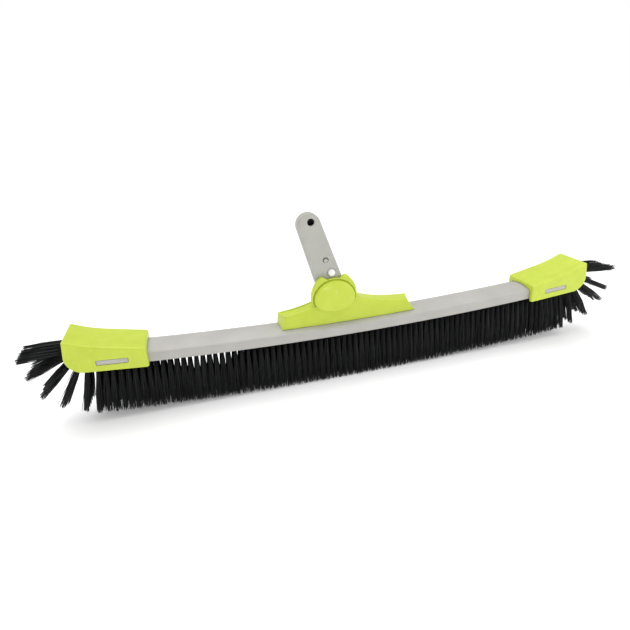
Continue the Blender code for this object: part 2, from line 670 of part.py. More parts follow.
def build():
    for obj in list(bpy.data.objects):
        bpy.data.objects.remove(obj)
    parts = new_collection("pool_wall_brush")
    cutters = new_collection("cutters")
    lime = material("lime_plastic", LIME, 0.35)
    grey = material("grey_plastic", GREY, 0.5)
    rail_metal = material("anodised_rail", ALUMINIUM, 0.42, 0.6)
    black = material("black_block", BLACK, 0.6)
    nylon = material("black_bristle", BLACK, 0.5)
    steel = material("steel", STEEL, 0.3, 1.0)
    white = material("white_button", WHITE, 0.3)
    brass = material("brass_bush", BRASS, 0.35, 1.0)

    room = rail_room(cutters)
    key_slots = [place(as_cutter(window(f"key_slot_{word}", side, WINDOW_SIZE)), cutters)
                 for side, word in SIDES]
    back_rail(parts, cutters, key_slots, rail_metal)
    bristle_block(parts, key_slots, black)
    bristle_rows(parts, nylon)
    for (side, word), slot in zip(SIDES, key_slots):
        end_fans(parts, side, word, nylon)
        end_cap(parts, cutters, room, slot, side, word, lime)
        cap_key(parts, side, word, grey)
    handle_bracket(parts, cutters, room, lime)
    bracket_screws(parts, steel)
    pivot_screw(parts, steel)

    pivot = bpy.data.objects.new("swivel_axis", None)
    pivot.location = PIVOT
    pivot.rotation_euler.y = math.radians(TONGUE_LEAN)
    parts.objects.link(pivot)
    pole_tongue(parts, cutters, pivot, grey)
    tongue_cover(parts, pivot, black)
    lock_button(parts, pivot, white)
    lock_spring(parts, cutters, pivot, steel)
    spring_rivet(parts, pivot, grey)
    swivel_parts(parts, pivot, nylon, brass)
    for obj in parts.objects:
        if obj.type == 'MESH':
            smooth(obj)


build()
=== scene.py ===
"""Pool wall brush: the looks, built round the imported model. Metres, +Z up, in the model's own frame.

The bristles are separate filaments, the plastic parts are moulded shapes with rounded edges, and the
rail is a drawn section. The block, screws, bush, washers and spring are the model's own solids.
"""
import json
import math

import bmesh
import bpy
import numpy as np
from mathutils import Matrix, Vector


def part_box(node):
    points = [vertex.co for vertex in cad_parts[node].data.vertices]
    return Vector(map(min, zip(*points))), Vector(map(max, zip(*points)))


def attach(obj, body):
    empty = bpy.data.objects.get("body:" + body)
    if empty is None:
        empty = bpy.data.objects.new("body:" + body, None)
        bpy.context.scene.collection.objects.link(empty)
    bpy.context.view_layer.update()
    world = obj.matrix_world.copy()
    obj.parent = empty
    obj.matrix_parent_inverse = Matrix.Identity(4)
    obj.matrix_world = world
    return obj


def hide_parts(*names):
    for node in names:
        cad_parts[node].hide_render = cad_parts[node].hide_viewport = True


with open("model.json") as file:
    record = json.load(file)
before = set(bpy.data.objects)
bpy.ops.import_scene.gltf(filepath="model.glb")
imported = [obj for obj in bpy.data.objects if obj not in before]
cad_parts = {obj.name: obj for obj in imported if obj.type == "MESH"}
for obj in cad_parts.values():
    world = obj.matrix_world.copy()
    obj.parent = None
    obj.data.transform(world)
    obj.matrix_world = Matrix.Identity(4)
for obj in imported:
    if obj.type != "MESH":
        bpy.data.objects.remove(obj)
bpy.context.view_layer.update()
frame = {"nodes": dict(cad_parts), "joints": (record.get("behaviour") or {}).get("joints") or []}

# ---- driving dimensions, as in the design --------------------------------------------------------
BOW_RADIUS = 3.70            # the whole head is bent up along this arc
GAP = 0.0003
SIDES = ((-1, "left"), (1, "right"))

RAIL_LOW = 0.057
RAIL_SIDE = 0.0105
RAIL_CROWN = 0.003
RAIL_WALL = 0.0016
RAIL_EDGE = 0.0026           # rounding between the rail's top and its sides
LIP_WIDTH = 0.0028
LIP_HEIGHT = 0.0009
FOOT_EDGE = 0.0005           # chamfer under the rail's sides
INNER_EDGE = 0.0012          # rounding inside, under its top
RAIL_CLEAR = 0.03            # how far cutters run past the rail's middle, and below it
BLOCK_LOW = RAIL_LOW + 0.0015

ROW_COUNT = 5
TUFT_PITCH = 0.00696
TUFT_COLUMNS = 81
SPREAD_FROM = 0.235          # beyond this the columns lean out, towards the fan
SPREAD_ANGLE = 5.5
FAN_X = 0.285
FAN_ROOT = 0.019
# Tufts of each fan: degrees out from straight down, and the reach from the middle of the round end.
FANS = {"left": ((11.5, 0.0745), (30, 0.0730), (48.5, 0.0720), (68, 0.0665), (87, 0.0655)),
        "right": ((14.5, 0.0750), (32, 0.0775), (53, 0.0760), (66, 0.0735), (88, 0.0725))}

CAP_INNER = 0.228
CAP_END = 0.306
CAP_LIP = 0.0025
CAP_WALL = 0.0035
CAP_CORNER = 0.018
CAP_INNER_CORNER = 0.0025
CAP_LOW = (0.0604, 0.0653)
CAP_TOP = (0.0822, 0.1027)
CAP_KNEE = (0.70, 0.0032)    # where its slope changes: share of the way out, drop below the chord
CAP_EDGE = 0.0020            # rounding of its edges
CAP_MOUTH = 0.0034           # rounding of the opening that the rail goes through
FAN_ROOM_FROM = 0.280        # where the hollow for the fan starts
FAN_ROOM_EDGE = 0.0015
CAP_GRAIN = 0.00055          # finest detail that the smoothing of a cap keeps
WINDOW_X = 0.2622
WINDOW_SIZE = (0.0306, 0.0056)
KEY_SIZE = (0.0299, 0.0049)
WINDOW_LOW = 0.0611
KEY_INSET = 0.0006           # the key's ends lie this far under the cap's faces
KEY_EDGE = 0.0005

BASE_HALF = 0.0085           # half the depth of the bracket's base, at the height BASE_WAIST
BASE_WAIST = 0.0875
BASE_FLARE = 0.135           # how fast it widens towards the rail
BASE_LEFT = -0.0870
BASE_RIGHT = 0.0787
BASE_CUT = (0.0010, 0.0065)  # how far its front corners are cut back, at the bottom and the top
CHEEK_FRONT = -0.0130
RIM_FRONT = -0.0095
SLOT_FRONT = -0.0043
SLOT_BACK = 0.0083
CHEEK_BACK = 0.0135
DISC_HALF = 0.0238
DISC_UPPER = 0.0222
DISC_LOWER = 0.0147
NOTCH_RADIUS = 0.0240
REAR_RADIUS = 0.0205
RIM_RADIUS = 0.0266
LUG_RADIUS = 0.0308
NOTCH_HALF = 22.5
LUG_SLOPE = (-5.0, 3.0)
LUG_SPAN = 9.0
SLOT_RADIUS = 0.0188
SLOT_DIP = 0.0041
SLOT_SIDE = 0.0284
TROUGH_LIP = 0.0017          # walls beside the troughs in the wings
TROUGH_DIP = 0.0016          # depth of the troughs
TROUGH_END = 0.0024          # wall at their outer ends
TROUGH_CUT = 0.8             # share of BASE_CUT by which their front corners are cut back
END_ZONE = (0.003, 0.008)    # how far in from its left and right ends the base's corners are looked for
GROOVE = 0.0012              # width of the groove round the disc
GROOVE_BELOW = 0.0004        # and under the disc
GROOVE_DEPTH = 0.0018
LUG_TIP = (0.0012, -0.0004)  # rise of the lug's curve: at its control point, and at its end
RIM_BELOW = 0.0013           # how far the rim stands out under the disc
BASE_EDGE = 0.0011           # rounding of the bracket's parts
RIM_EDGE = 0.0013
DISC_EDGE = 0.0020
CHEEK_EDGE = 0.0016
BRACKET_GRAIN = 0.00045      # finest detail that its smoothing keeps
BRACKET_MOUTH = 0.0020       # rounding where it lies on the rail
BRACKET_SCREWS = (-0.068, -0.046, 0.026, 0.060)
CLEARANCE_HOLE = 0.0024      # radius of their holes in the rail
PILOT_RADIUS = 0.0021        # and in the bracket
PILOT_DEPTH = 0.0098
PIVOT_BORE = 0.0098          # the blind end of the pivot hole lies this far in front of the middle
HOLE_BELOW = 0.006           # how far the screws' cutters start below the rail's top

TONGUE_LEAN = math.radians(-17.2)
TONGUE_FRONT = -0.0040
TONGUE_BACK = 0.0080
TONGUE_ROOT = 0.0160
TONGUE_TIP = 0.0131
ROOT_CENTRE = (0.0025, 0.0)
TIP_CENTRE = (0.0025, 0.0873)
TONGUE_WALL = 0.0025
TONGUE_FACE = 0.0022
TONGUE_EDGE = 0.0020         # rounding of its edges
COVER_THICK = 0.0020
COVER_EDGE = 0.0004
CAVITY_LOW = (0.0025, 0.0330)
CAVITY_RADIUS = 0.0121
CLIP_HOLE = (0.0054, 0.0902)
CLIP_RADIUS = 0.0039
CLIP_CHAMFER = 0.0006
RIVET_AT = (0.0064, 0.0438)
RIVET_HOLE = (0.0033, 0.0010)    # radius, and how far it sits above the rivet, which leaves a gap on top
RIVET_SUNK = 0.0003          # its head lies this far under the tongue's face
RIVET_RADIUS = 0.0026
RIVET_NECK = 0.0016
TAIL_RADIUS = 0.0030         # of its closed end, behind the spring
BUTTON_HOLE = (0.0007, -0.0004)  # room round the button, and how far down it is moved
DOME_HEIGHT = 0.0022
FLANGE_THICK = 0.0012
BUTTON_AT = (0.0077, 0.0290)
BUTTON_RADIUS = 0.0040
BUTTON_PROUD = 0.0039
FLANGE_RADIUS = 0.0049
POCKET_RADIUS = 0.0096
POCKET_DEPTH = 0.0011
BUSH_RADIUS = 0.0050
SCREW_RADIUS = 0.0030
FAR = 0.04                   # how far an open cutter runs past what it cuts
CLEAR = 0.01                 # the same for a shallow one

joints = {joint["name"]: joint for joint in frame["joints"]}
PIVOT = Vector(joints["swivel"]["pos_m"])
FACING_FRONT = Matrix.Rotation(math.radians(90), 4, 'X')
ON_PIVOT = Matrix.Translation(PIVOT) @ Matrix.Rotation(TONGUE_LEAN, 4, 'Y')


# ---- outlines ------------------------------------------------------------------------------------
def bow(x):
    """Rise of the head's arc at x, a number or an array."""
    return BOW_RADIUS - np.sqrt(BOW_RADIUS ** 2 - np.square(x))


def on_circle(centre, radius, angle):
    turn = math.radians(angle)
    return (centre[0] + radius * math.cos(turn), centre[1] + radius * math.sin(turn))


def arc(centre, radius, start, end, steps):
    """Points on a circle between two angles in degrees, both ends included."""
    return [on_circle(centre, radius, start + (end - start) * i / steps) for i in range(steps + 1)]


def bezier(start, control, end, steps):
    """Points on a quadratic curve, both ends included."""
    points = []
    for i in range(steps + 1):
        t = i / steps
        weights = ((1 - t) ** 2, 2 * t * (1 - t), t ** 2)
        points.append(tuple(sum(w * p[k] for w, p in zip(weights, (start, control, end))) for k in (0, 1)))
    return points


def straight(start, end, steps):
    """Points on a line, both ends included."""
    return bezier(start, ((start[0] + end[0]) / 2, (start[1] + end[1]) / 2), end, steps)


def polar(angle, radius):
    """Offset from the pivot at an angle in degrees, clockwise from straight up."""
    return (radius * math.sin(math.radians(angle)), radius * math.cos(math.radians(angle)))


def capsule(low, low_radius, high, high_radius, steps=32):
    """Two unequal circles and their outer tangents."""
    axis = Vector(high) - Vector(low)
    heading = math.degrees(math.atan2(axis.y, axis.x))
    lean = math.degrees(math.acos((low_radius - high_radius) / axis.length))
    top = arc(high, high_radius, heading - lean, heading + lean, steps)
    return top + arc(low, low_radius, heading + lean, heading + 360 - lean, steps)


def oval(half, upper, lower, steps=48):
    """Two half ellipses, one above the pivot and one below it."""
    points = [(x, z * upper / half) for x, z in arc((0, 0), half, 0, 180, steps)]
    points += [(x, z * lower / half) for x, z in arc((0, 0), half, 180, 360, steps)[1:-1]]
    return [(PIVOT.x + x, PIVOT.z + z) for x, z in points]


# ---- solids --------------------------------------------------------------------------------------
def closed_mesh(name, shape):
    """A mesh from a bmesh whose loose seams are welded and whose faces point out."""
    bmesh.ops.remove_doubles(shape, verts=shape.verts, dist=1e-6)
    bmesh.ops.recalc_face_normals(shape, faces=shape.faces)
    mesh = bpy.data.meshes.new(name)
    shape.to_mesh(mesh)
    shape.free()
    return mesh


def link(obj):
    bpy.context.scene.collection.objects.link(obj)
    return obj


def plate(name, outline, front, back):
    """An (x, z) outline that fills the depth from y = front to y = back."""
    shape = bmesh.new()
    near = [shape.verts.new((x, front, z)) for x, z in outline]
    far = [shape.verts.new((x, back, z)) for x, z in outline]
    shape.faces.new(near)
    shape.faces.new(far[::-1])
    for i in range(len(outline)):
        j = (i + 1) % len(outline)
        shape.faces.new((near[i], far[i], far[j], near[j]))
    return link(bpy.data.objects.new(name, closed_mesh(name, shape)))


def swept(name, profile, length, stations):
    """A closed (y, z) profile run along x and bent up along the head's arc."""
    shape = bmesh.new()
    rings = []
    for i in range(stations + 1):
        x = -length / 2 + length * i / stations
        rings.append([shape.verts.new((x, y, z + float(bow(x)))) for y, z in profile])
    for here, there in zip(rings, rings[1:]):
        for i in range(len(profile)):
            j = (i + 1) % len(profile)
            shape.faces.new((here[i], there[i], there[j], here[j]))
    shape.faces.new(rings[0])
    shape.faces.new(rings[-1][::-1])
    return link(bpy.data.objects.new(name, closed_mesh(name, shape)))


def turned(name, profile, turn, steps=64):
    """A (radius, height) profile that starts and ends on the axis, turned about it."""
    shape = bmesh.new()
    rings = []
    for radius, height in profile:
        if radius == 0:
            rings.append([shape.verts.new((0, 0, height))] * steps)
            continue
        angles = [2 * math.pi * k / steps for k in range(steps)]
        rings.append([shape.verts.new((radius * math.cos(a), radius * math.sin(a), height)) for a in angles])
    for here, there in zip(rings, rings[1:]):
        for k in range(steps):
            n = (k + 1) % steps
            corners = [here[k], here[n], there[n], there[k]]
            shape.faces.new(list(dict.fromkeys(corners)))
    mesh = closed_mesh(name, shape)
    mesh.transform(turn)
    return link(bpy.data.objects.new(name, mesh))


def drilled(name, radius, front, back, at, chamfer=0.0):
    """A round cutter along y, widened by a chamfer where it enters the front face."""
    profile = [(0, -back), (radius, -back)]
    if chamfer:
        wide = radius + chamfer + GAP
        profile += [(radius, -front - chamfer), (wide, -front + GAP), (wide, -front + CLEAR)]
    else:
        profile.append((radius, -front))
    profile.append((0, profile[-1][1]))
    return turned(name, profile, Matrix.Translation((at[0], 0, at[1])) @ FACING_FRONT, 48)


def screw_hole(radius, depth, seat):
    """A round cutter for a bracket screw, from HOLE_BELOW under its seat to depth above it."""
    profile = [(0, -HOLE_BELOW), (radius, -HOLE_BELOW), (radius, depth), (0, depth)]
    return turned("screw_hole", profile, seat, 24)


def block(name, low, high, lean=0.0):
    """A box between two corners, turned about y through its middle."""
    shape = bmesh.new()
    bmesh.ops.create_cube(shape, size=1.0)
    mesh = closed_mesh(name, shape)
    low, high = Vector(low), Vector(high)
    size = Matrix.Diagonal((*(high - low), 1.0))
    mesh.transform(Matrix.Translation((low + high) / 2) @ Matrix.Rotation(lean, 4, 'Y') @ size)
    return link(bpy.data.objects.new(name, mesh))


def bevel(obj, width, segments):
    modifier = obj.modifiers.new("rounded", 'BEVEL')
    modifier.width = width
    modifier.segments = segments
    modifier.limit_method = 'ANGLE'
    modifier.angle_limit = math.radians(35)
    return obj


def combine(obj, others, operation):
    """Joins other solids to obj, or cuts them from it, and removes them."""
    for other in others:
        modifier = obj.modifiers.new("join", 'BOOLEAN')
        modifier.operation = operation
        modifier.object = other
        modifier.use_self = True
    bake(obj)
    for other in others:
        bpy.data.objects.remove(other)


def bake(obj):
    """Replaces the mesh by what its modifiers make of it."""
    graph = bpy.context.evaluated_depsgraph_get()
    mesh = bpy.data.meshes.new_from_object(obj.evaluated_get(graph))
    obj.modifiers.clear()
    obj.data = mesh


def soften(obj, voxel, rounds, keep):
    """Rounds every edge as a moulding's are: fine voxels, smoothed, then thinned out."""
    remesh = obj.modifiers.new("voxels", 'REMESH')
    remesh.mode = 'VOXEL'
    remesh.voxel_size = voxel
    relax = obj.modifiers.new("relax", 'SMOOTH')
    relax.factor = 0.5
    relax.iterations = rounds
    thin = obj.modifiers.new("thin", 'DECIMATE')
    thin.ratio = keep
    bake(obj)


def shade(obj, angle):
    """Smooth shading with flat faces kept flat; an angle of 0 leaves no sharp edges."""
    obj.data.shade_smooth()
    if angle:
        obj.data.set_sharp_from_angle(angle=math.radians(angle))
        flat = obj.modifiers.new("flat faces", 'WEIGHTED_NORMAL')
        flat.keep_sharp = True
        flat.weight = 100
        bake(obj)


def piece(obj, name, body, slot, mat, *nodes, angle=40):
    """Names a finished piece, gives it its material and ties it to the model."""
    obj.name = name
    obj.data.materials.clear()
    obj.data.materials.append(mat)
    shade(obj, angle)
    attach(obj, body)
    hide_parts(*nodes)
    return obj


# ---- materials -----------------------------------------------------------------------------------
def noise(tree, coords, scale, detail, stretch=(1.0, 1.0, 1.0)):
    mapping = tree.nodes.new('ShaderNodeMapping')
    mapping.inputs['Scale'].default_value = stretch
    texture = tree.nodes.new('ShaderNodeTexNoise')
    texture.inputs['Scale'].default_value = scale
    texture.inputs['Detail'].default_value = detail
    tree.links.new(coords, mapping.inputs['Vector'])
    tree.links.new(mapping.outputs['Vector'], texture.inputs['Vector'])
    return texture.outputs['Fac']


def spread(tree, value, low, high, start=0.3, end=0.7):
    """Maps the middle of a noise onto a range."""
    node = tree.nodes.new('ShaderNodeMapRange')
    node.inputs['From Min'].default_value = start
    node.inputs['From Max'].default_value = end
    node.inputs['To Min'].default_value = low
    node.inputs['To Max'].default_value = high
    tree.links.new(value, node.inputs['Value'])
    return node.outputs['Result']


def blended(tree, factor, first, second):
    """A colour between two colours or colour sockets."""
    node = tree.nodes.new('ShaderNodeMix')
    node.data_type = 'RGBA'
    tree.links.new(factor, node.inputs['Factor'])
    for key, value in ((6, first), (7, second)):
        if isinstance(value, tuple):
            node.inputs[key].default_value = (*value, 1.0)
        else:
            tree.links.new(value, node.inputs[key])
    return node.outputs[2]


def surface(name, dark, light, rough, metallic=0.0, patch=60.0, grain=1800.0, relief=0.05,
            stretch=(1.0, 1.0, 1.0), edge=None, scuff=None, fixed=()):
    """A procedural finish: patchy colour, fine grain in roughness and relief, paler edges, scuffs.

    dark and light are the two shades, rough the range of roughness, relief the height of the grain in
    tenths of a millimetre, stretch the direction of the grain, edge the colour of a painted highlight
    along the rounded edges, fixed the sockets with one value.
    """
    mat = bpy.data.materials.new(name)
    mat.use_nodes = True
    tree = mat.node_tree
    shader = tree.nodes["Principled BSDF"]
    shader.inputs['Metallic'].default_value = metallic
    for socket, value in fixed:
        shader.inputs[socket].default_value = value
    coords = tree.nodes.new('ShaderNodeTexCoord').outputs['Object']
    broad = noise(tree, coords, patch, 4.0)
    fine = noise(tree, coords, grain, 3.0, stretch)
    colour = blended(tree, spread(tree, broad, 0.0, 1.0), dark, light)
    colour = blended(tree, spread(tree, fine, 0.0, 0.35), colour, light)
    if scuff:
        marks = noise(tree, coords, 260.0, 6.0, (1.0, 2.5, 0.6))
        colour = blended(tree, spread(tree, marks, 0.0, 0.5, 0.62, 0.72), colour, scuff)
    # Painted highlight: edges are turned paler where the pointiness is high, as if they caught the light.
    if edge:
        edge_highlight_mask = tree.nodes.new('ShaderNodeNewGeometry').outputs['Pointiness']
        colour = blended(tree, spread(tree, edge_highlight_mask, 0.0, 0.6, 0.51, 0.58), colour, edge)
    tree.links.new(colour, shader.inputs['Base Color'])
    tree.links.new(spread(tree, fine, *rough), shader.inputs['Roughness'])
    bump = tree.nodes.new('ShaderNodeBump')
    bump.inputs['Strength'].default_value = 0.6
    bump.inputs['Distance'].default_value = relief * 1e-4
    tree.links.new(fine, bump.inputs['Height'])
    tree.links.new(bump.outputs['Normal'], shader.inputs['Normal'])
    return mat


# The lime's edge colour is a painted highlight along the rounded edges; its scuff colour is wear.
LIME = surface("lime_plastic", (0.50, 0.61, 0.028), (0.56, 0.67, 0.050), (0.30, 0.42), relief=0.25,
               edge=(0.72, 0.82, 0.20), scuff=(0.61, 0.71, 0.12),
               fixed=(('Coat Weight', 0.1), ('Coat Roughness', 0.2)))
RAIL = surface("anodised_rail", (0.41, 0.397, 0.370), (0.48, 0.467, 0.438), (0.50, 0.62), 0.1,
               patch=30.0, grain=900.0, relief=0.3, stretch=(0.02, 1.0, 1.0))
GREY = surface("grey_plastic", (0.395, 0.395, 0.36), (0.45, 0.45, 0.41), (0.45, 0.60), relief=0.6)
KEY = surface("key_plastic", (0.42, 0.41, 0.38), (0.50, 0.48, 0.45), (0.40, 0.55), relief=0.5)
WHITE = surface("white_plastic", (0.84, 0.84, 0.82), (0.90, 0.90, 0.88), (0.25, 0.35), relief=0.1)
# Black of the bristle block, also used on the tongue's cover as painted shade inside the clip hole.
BLOCK_AND_HOLE_SHADE = surface("black_block", (0.012, 0.013, 0.014), (0.022, 0.023, 0.024), (0.45, 0.6), relief=0.5)
BRISTLE = surface("black_bristle", (0.003, 0.0035, 0.004), (0.010, 0.011, 0.012), (0.42, 0.58),
                  patch=220.0, grain=2600.0, relief=0.1, stretch=(1.0, 1.0, 0.04),
                  fixed=(('Specular IOR Level', 0.3),))
STEEL = surface("stainless_screw", (0.48, 0.48, 0.49), (0.60, 0.60, 0.61), (0.2, 0.35), 1.0, relief=0.1)
SPRING = surface("spring_steel", (0.36, 0.36, 0.37), (0.50, 0.50, 0.51), (0.22, 0.4), 1.0, relief=0.1,
                 stretch=(0.1, 1.0, 1.0))
RIVET = surface("grey_rivet", (0.40, 0.40, 0.37), (0.48, 0.48, 0.44), (0.4, 0.55), relief=0.1)
BRASS = surface("brass_bush", (0.52, 0.36, 0.12), (0.66, 0.48, 0.20), (0.22, 0.4), 1.0, relief=0.1)
WASHER = surface("washer_rubber", (0.018, 0.018, 0.018), (0.04, 0.04, 0.04), (0.6, 0.8), relief=0.8)


# ---- bristles ------------------------------------------------------------------------------------
FILAMENT_SIDES = 3
STATIONS = (0.0, 0.3, 0.6, 1.0)                  # shares of the reach; a tuft has opened by the third
FILAMENT_RADIUS = (0.00033, 0.00033, 0.00031, 0.00023)
ROOT_HALF = 0.0014           # half the width of a tuft where it leaves the block
OPENING = 1.6                # above 1, a tuft stays narrow near its root
# Filaments in a tuft, half its width at the tips, raggedness of the lengths, jitter of the lean in degrees.
ROW_TUFT = (46, 0.0037, 0.026, 0.15)
FAN_TUFT = (50, 0.0029, 0.045, 0.8)
STRAY_SHARE = 0.03           # share of the filaments that stray
STRAY = (0.0018, 0.0004)     # how far they do, and how far the others do
CURL = 0.00035               # how far a filament bends halfway along
FLOOR_CLEAR = 0.0001         # no filament goes lower than this
SEED = 11


def filaments(name, tufts, count, rng, ragged):
    """One mesh of tapered filaments. A tuft is its root, its direction, its reach and its flare."""
    levels, around = len(STATIONS), FILAMENT_SIDES
    points = []
    for root, out, reach, flare in tufts:
        out = np.array(out)
        across = np.array((-out[2], 0.0, out[0]))
        depth = np.array((0.0, 1.0, 0.0))
        ring = np.sqrt(rng.uniform(0.02, 1.0, count))
        turn = rng.uniform(0, 2 * math.pi, count)
        side, deep = ring * np.cos(turn), ring * np.sin(turn)
        length = reach * (1.0 - np.abs(rng.normal(0.0, ragged, count)))
        stray = rng.normal(0.0, 1.0, (count, 2)) * np.where(rng.random(count) < STRAY_SHARE, *STRAY)[:, None]
        curl = rng.normal(0.0, CURL, (count, 2))
        spin = rng.uniform(0, 2 * math.pi, count)
        for level, share in enumerate(STATIONS):
            half = ROOT_HALF + (flare - ROOT_HALF) * min(1.0, share / STATIONS[2]) ** OPENING
            bend = math.sin(math.pi * share)
            a = side * half + stray[:, 0] * share ** 2 + curl[:, 0] * bend
            b = deep * half + stray[:, 1] * share ** 2 + curl[:, 1] * bend
            middle = np.array(root) + out * (length * share)[:, None]
            middle = middle + across * a[:, None] + depth * b[:, None]
            for k in range(around):
                angle = spin + 2 * math.pi * k / around
                offset = across * np.cos(angle)[:, None] + depth * np.sin(angle)[:, None]
                points.append(middle + offset * FILAMENT_RADIUS[level])
    blocks = len(tufts)
    cloud = np.array(points).reshape(blocks, levels, around, count, 3).transpose(0, 3, 1, 2, 4)
    cloud = cloud.reshape(-1, 3)
    cloud[:, 2] = np.maximum(cloud[:, 2], FLOOR_CLEAR)
    pattern = []
    for level in range(levels - 1):
        for k in range(around):
            n = (k + 1) % around
            low, high = level * around, (level + 1) * around
            pattern += [(low + k, high + k, high + n), (low + k, high + n, low + n)]
    pattern += [(0, 1, 2), tuple((levels - 1) * around + k for k in (2, 1, 0))]
    starts = np.arange(blocks * count)[:, None, None] * levels * around
    faces = (starts + np.array(pattern)[None]).reshape(-1, 3)
    mesh = bpy.data.meshes.new(name)
    mesh.from_pydata(cloud.tolist(), [], faces.tolist())
    return link(bpy.data.objects.new(name, mesh))


def column_lean(x):
    """Degrees that the column at x leans outwards: square to the arc, and more near the fan."""
    beyond = max(0.0, (abs(x) - SPREAD_FROM) / (TUFT_COLUMNS // 2 * TUFT_PITCH - SPREAD_FROM))
    return math.degrees(math.asin(x / BOW_RADIUS)) + math.copysign(SPREAD_ANGLE * beyond ** 1.5, x)


def direction(lean):
    return (math.sin(math.radians(lean)), 0.0, -math.cos(math.radians(lean)))


def row_y(index):
    return (index - (ROW_COUNT - 1) / 2) * TUFT_PITCH


def bristles():
    rng = np.random.default_rng(SEED)
    reach = BLOCK_LOW - GAP
    count, flare, ragged, jitter = ROW_TUFT
    for row in range(ROW_COUNT):
        tufts = []
        for i in range(TUFT_COLUMNS):
            x = (i - TUFT_COLUMNS // 2) * TUFT_PITCH
            lean = column_lean(x) + rng.normal(0.0, jitter)
            tufts.append(((x, row_y(row), reach + float(bow(x))), direction(lean), reach, flare))
        obj = filaments("row", tufts, count, rng, ragged)
        piece(obj, f"filaments_row_{row + 1}", "head", "black_bristle", BRISTLE, f"bristle_row_{row + 1}",
              angle=0)
    centre = (FAN_X, BLOCK_LOW + float(bow(FAN_X)) + FAN_ROOT)
    start = FAN_ROOT + GAP
    count, flare, ragged, jitter = FAN_TUFT
    for side, word in SIDES:
        for row in range(ROW_COUNT):
            tufts = []
            for angle, reach in FANS[word]:
                lean = angle + rng.normal(0.0, jitter)
                out = direction(side * lean)
                x, z = polar(180 - angle, start)
                tufts.append(((side * (centre[0] + x), row_y(row), centre[1] + z), out,
                              reach - start, flare))
            obj = filaments("fan", tufts, count, rng, ragged)
            piece(obj, f"filaments_{word}_fan_{row + 1}", "head", "black_bristle", BRISTLE,
                  f"end_fan_{word}_{row + 1}", angle=0)


# ---- rail and end caps ---------------------------------------------------------------------------
def crown(half, side_top, edge, steps=20):
    """The rounded top of the rail, from +half to -half, with rounded shoulders."""
    points = []
    for i in range(steps + 1):
        y = half * math.cos(math.pi * i / steps)
        rise = RAIL_CROWN * (1 - (y / half) ** 2)
        shoulder = min(1.0, max(0.0, abs(y) - (half - edge)) / edge)
        points.append((y, side_top + rise - edge * (1 - math.sqrt(1 - shoulder ** 2))))
    return points


def rail():
    low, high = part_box("back_rail")
    half, length = high.y, high.x - low.x
    inside, lip = half - RAIL_WALL, half - LIP_WIDTH
    top, lip_top = RAIL_LOW + RAIL_SIDE, RAIL_LOW + LIP_HEIGHT
    right_foot = [(half - FOOT_EDGE, RAIL_LOW), (half, RAIL_LOW + FOOT_EDGE)]
    outer = right_foot + crown(half, top, RAIL_EDGE) + [(-y, z) for y, z in right_foot[::-1]]
    left = [(-lip, RAIL_LOW), (-lip, lip_top), (-inside, lip_top)]
    inner = crown(inside, top - RAIL_WALL, INNER_EDGE)[::-1]
    right = [(inside, lip_top), (lip, lip_top), (lip, RAIL_LOW)]
    obj = swept("rail", outer + left + inner + right, length, 96)
    cutters = [window(f"slot_{word}", side, WINDOW_SIZE, RAIL_CLEAR) for side, word in SIDES]
    for x in BRACKET_SCREWS:
        seat = Matrix.Translation((x, 0, top + RAIL_CROWN + float(bow(x))))
        cutters.append(screw_hole(CLEARANCE_HOLE, HOLE_BELOW, seat))
    combine(obj, cutters, 'DIFFERENCE')
    piece(obj, "drawn_rail", "head", "anodised_rail", RAIL, "back_rail", angle=30)


def window(name, side, size, depth):
    """The box of a cap key or of its slot; it leans with the bow."""
    x = side * WINDOW_X
    low = WINDOW_LOW + float(bow(x)) - (size[1] - WINDOW_SIZE[1]) / 2
    lean = -math.asin(x / BOW_RADIUS)
    return block(name, (x - size[0] / 2, -depth, low), (x + size[0] / 2, depth, low + size[1]), lean)


def cap_top(grow=0.0, steps=20):
    """The top line, steep at the tip and then flatter, from the tip inwards, moved down by grow."""
    start = Vector((CAP_END - CAP_LIP, CAP_TOP[1] - grow))
    end = Vector((CAP_INNER, CAP_TOP[0] - grow))
    knee = end.lerp(start, CAP_KNEE[0]) - Vector((0, CAP_KNEE[1]))
    turn = bezier(start.lerp(knee, 0.55), knee, knee.lerp(end, 0.35), steps)
    return [tuple(start)] + turn + [tuple(end)]


def rail_room(edge):
    """Room for the rail under a cap or the bracket, as long as the rail; edge rounds its shoulders."""
    low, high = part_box("back_rail")
    half = high.y + GAP
    profile = [(half, RAIL_LOW - RAIL_CLEAR)] + crown(half, RAIL_LOW + RAIL_SIDE + GAP, edge)
    profile.append((-half, RAIL_LOW - RAIL_CLEAR))
    return swept("rail_room", profile, high.x - low.x + 2 * GAP, 48)


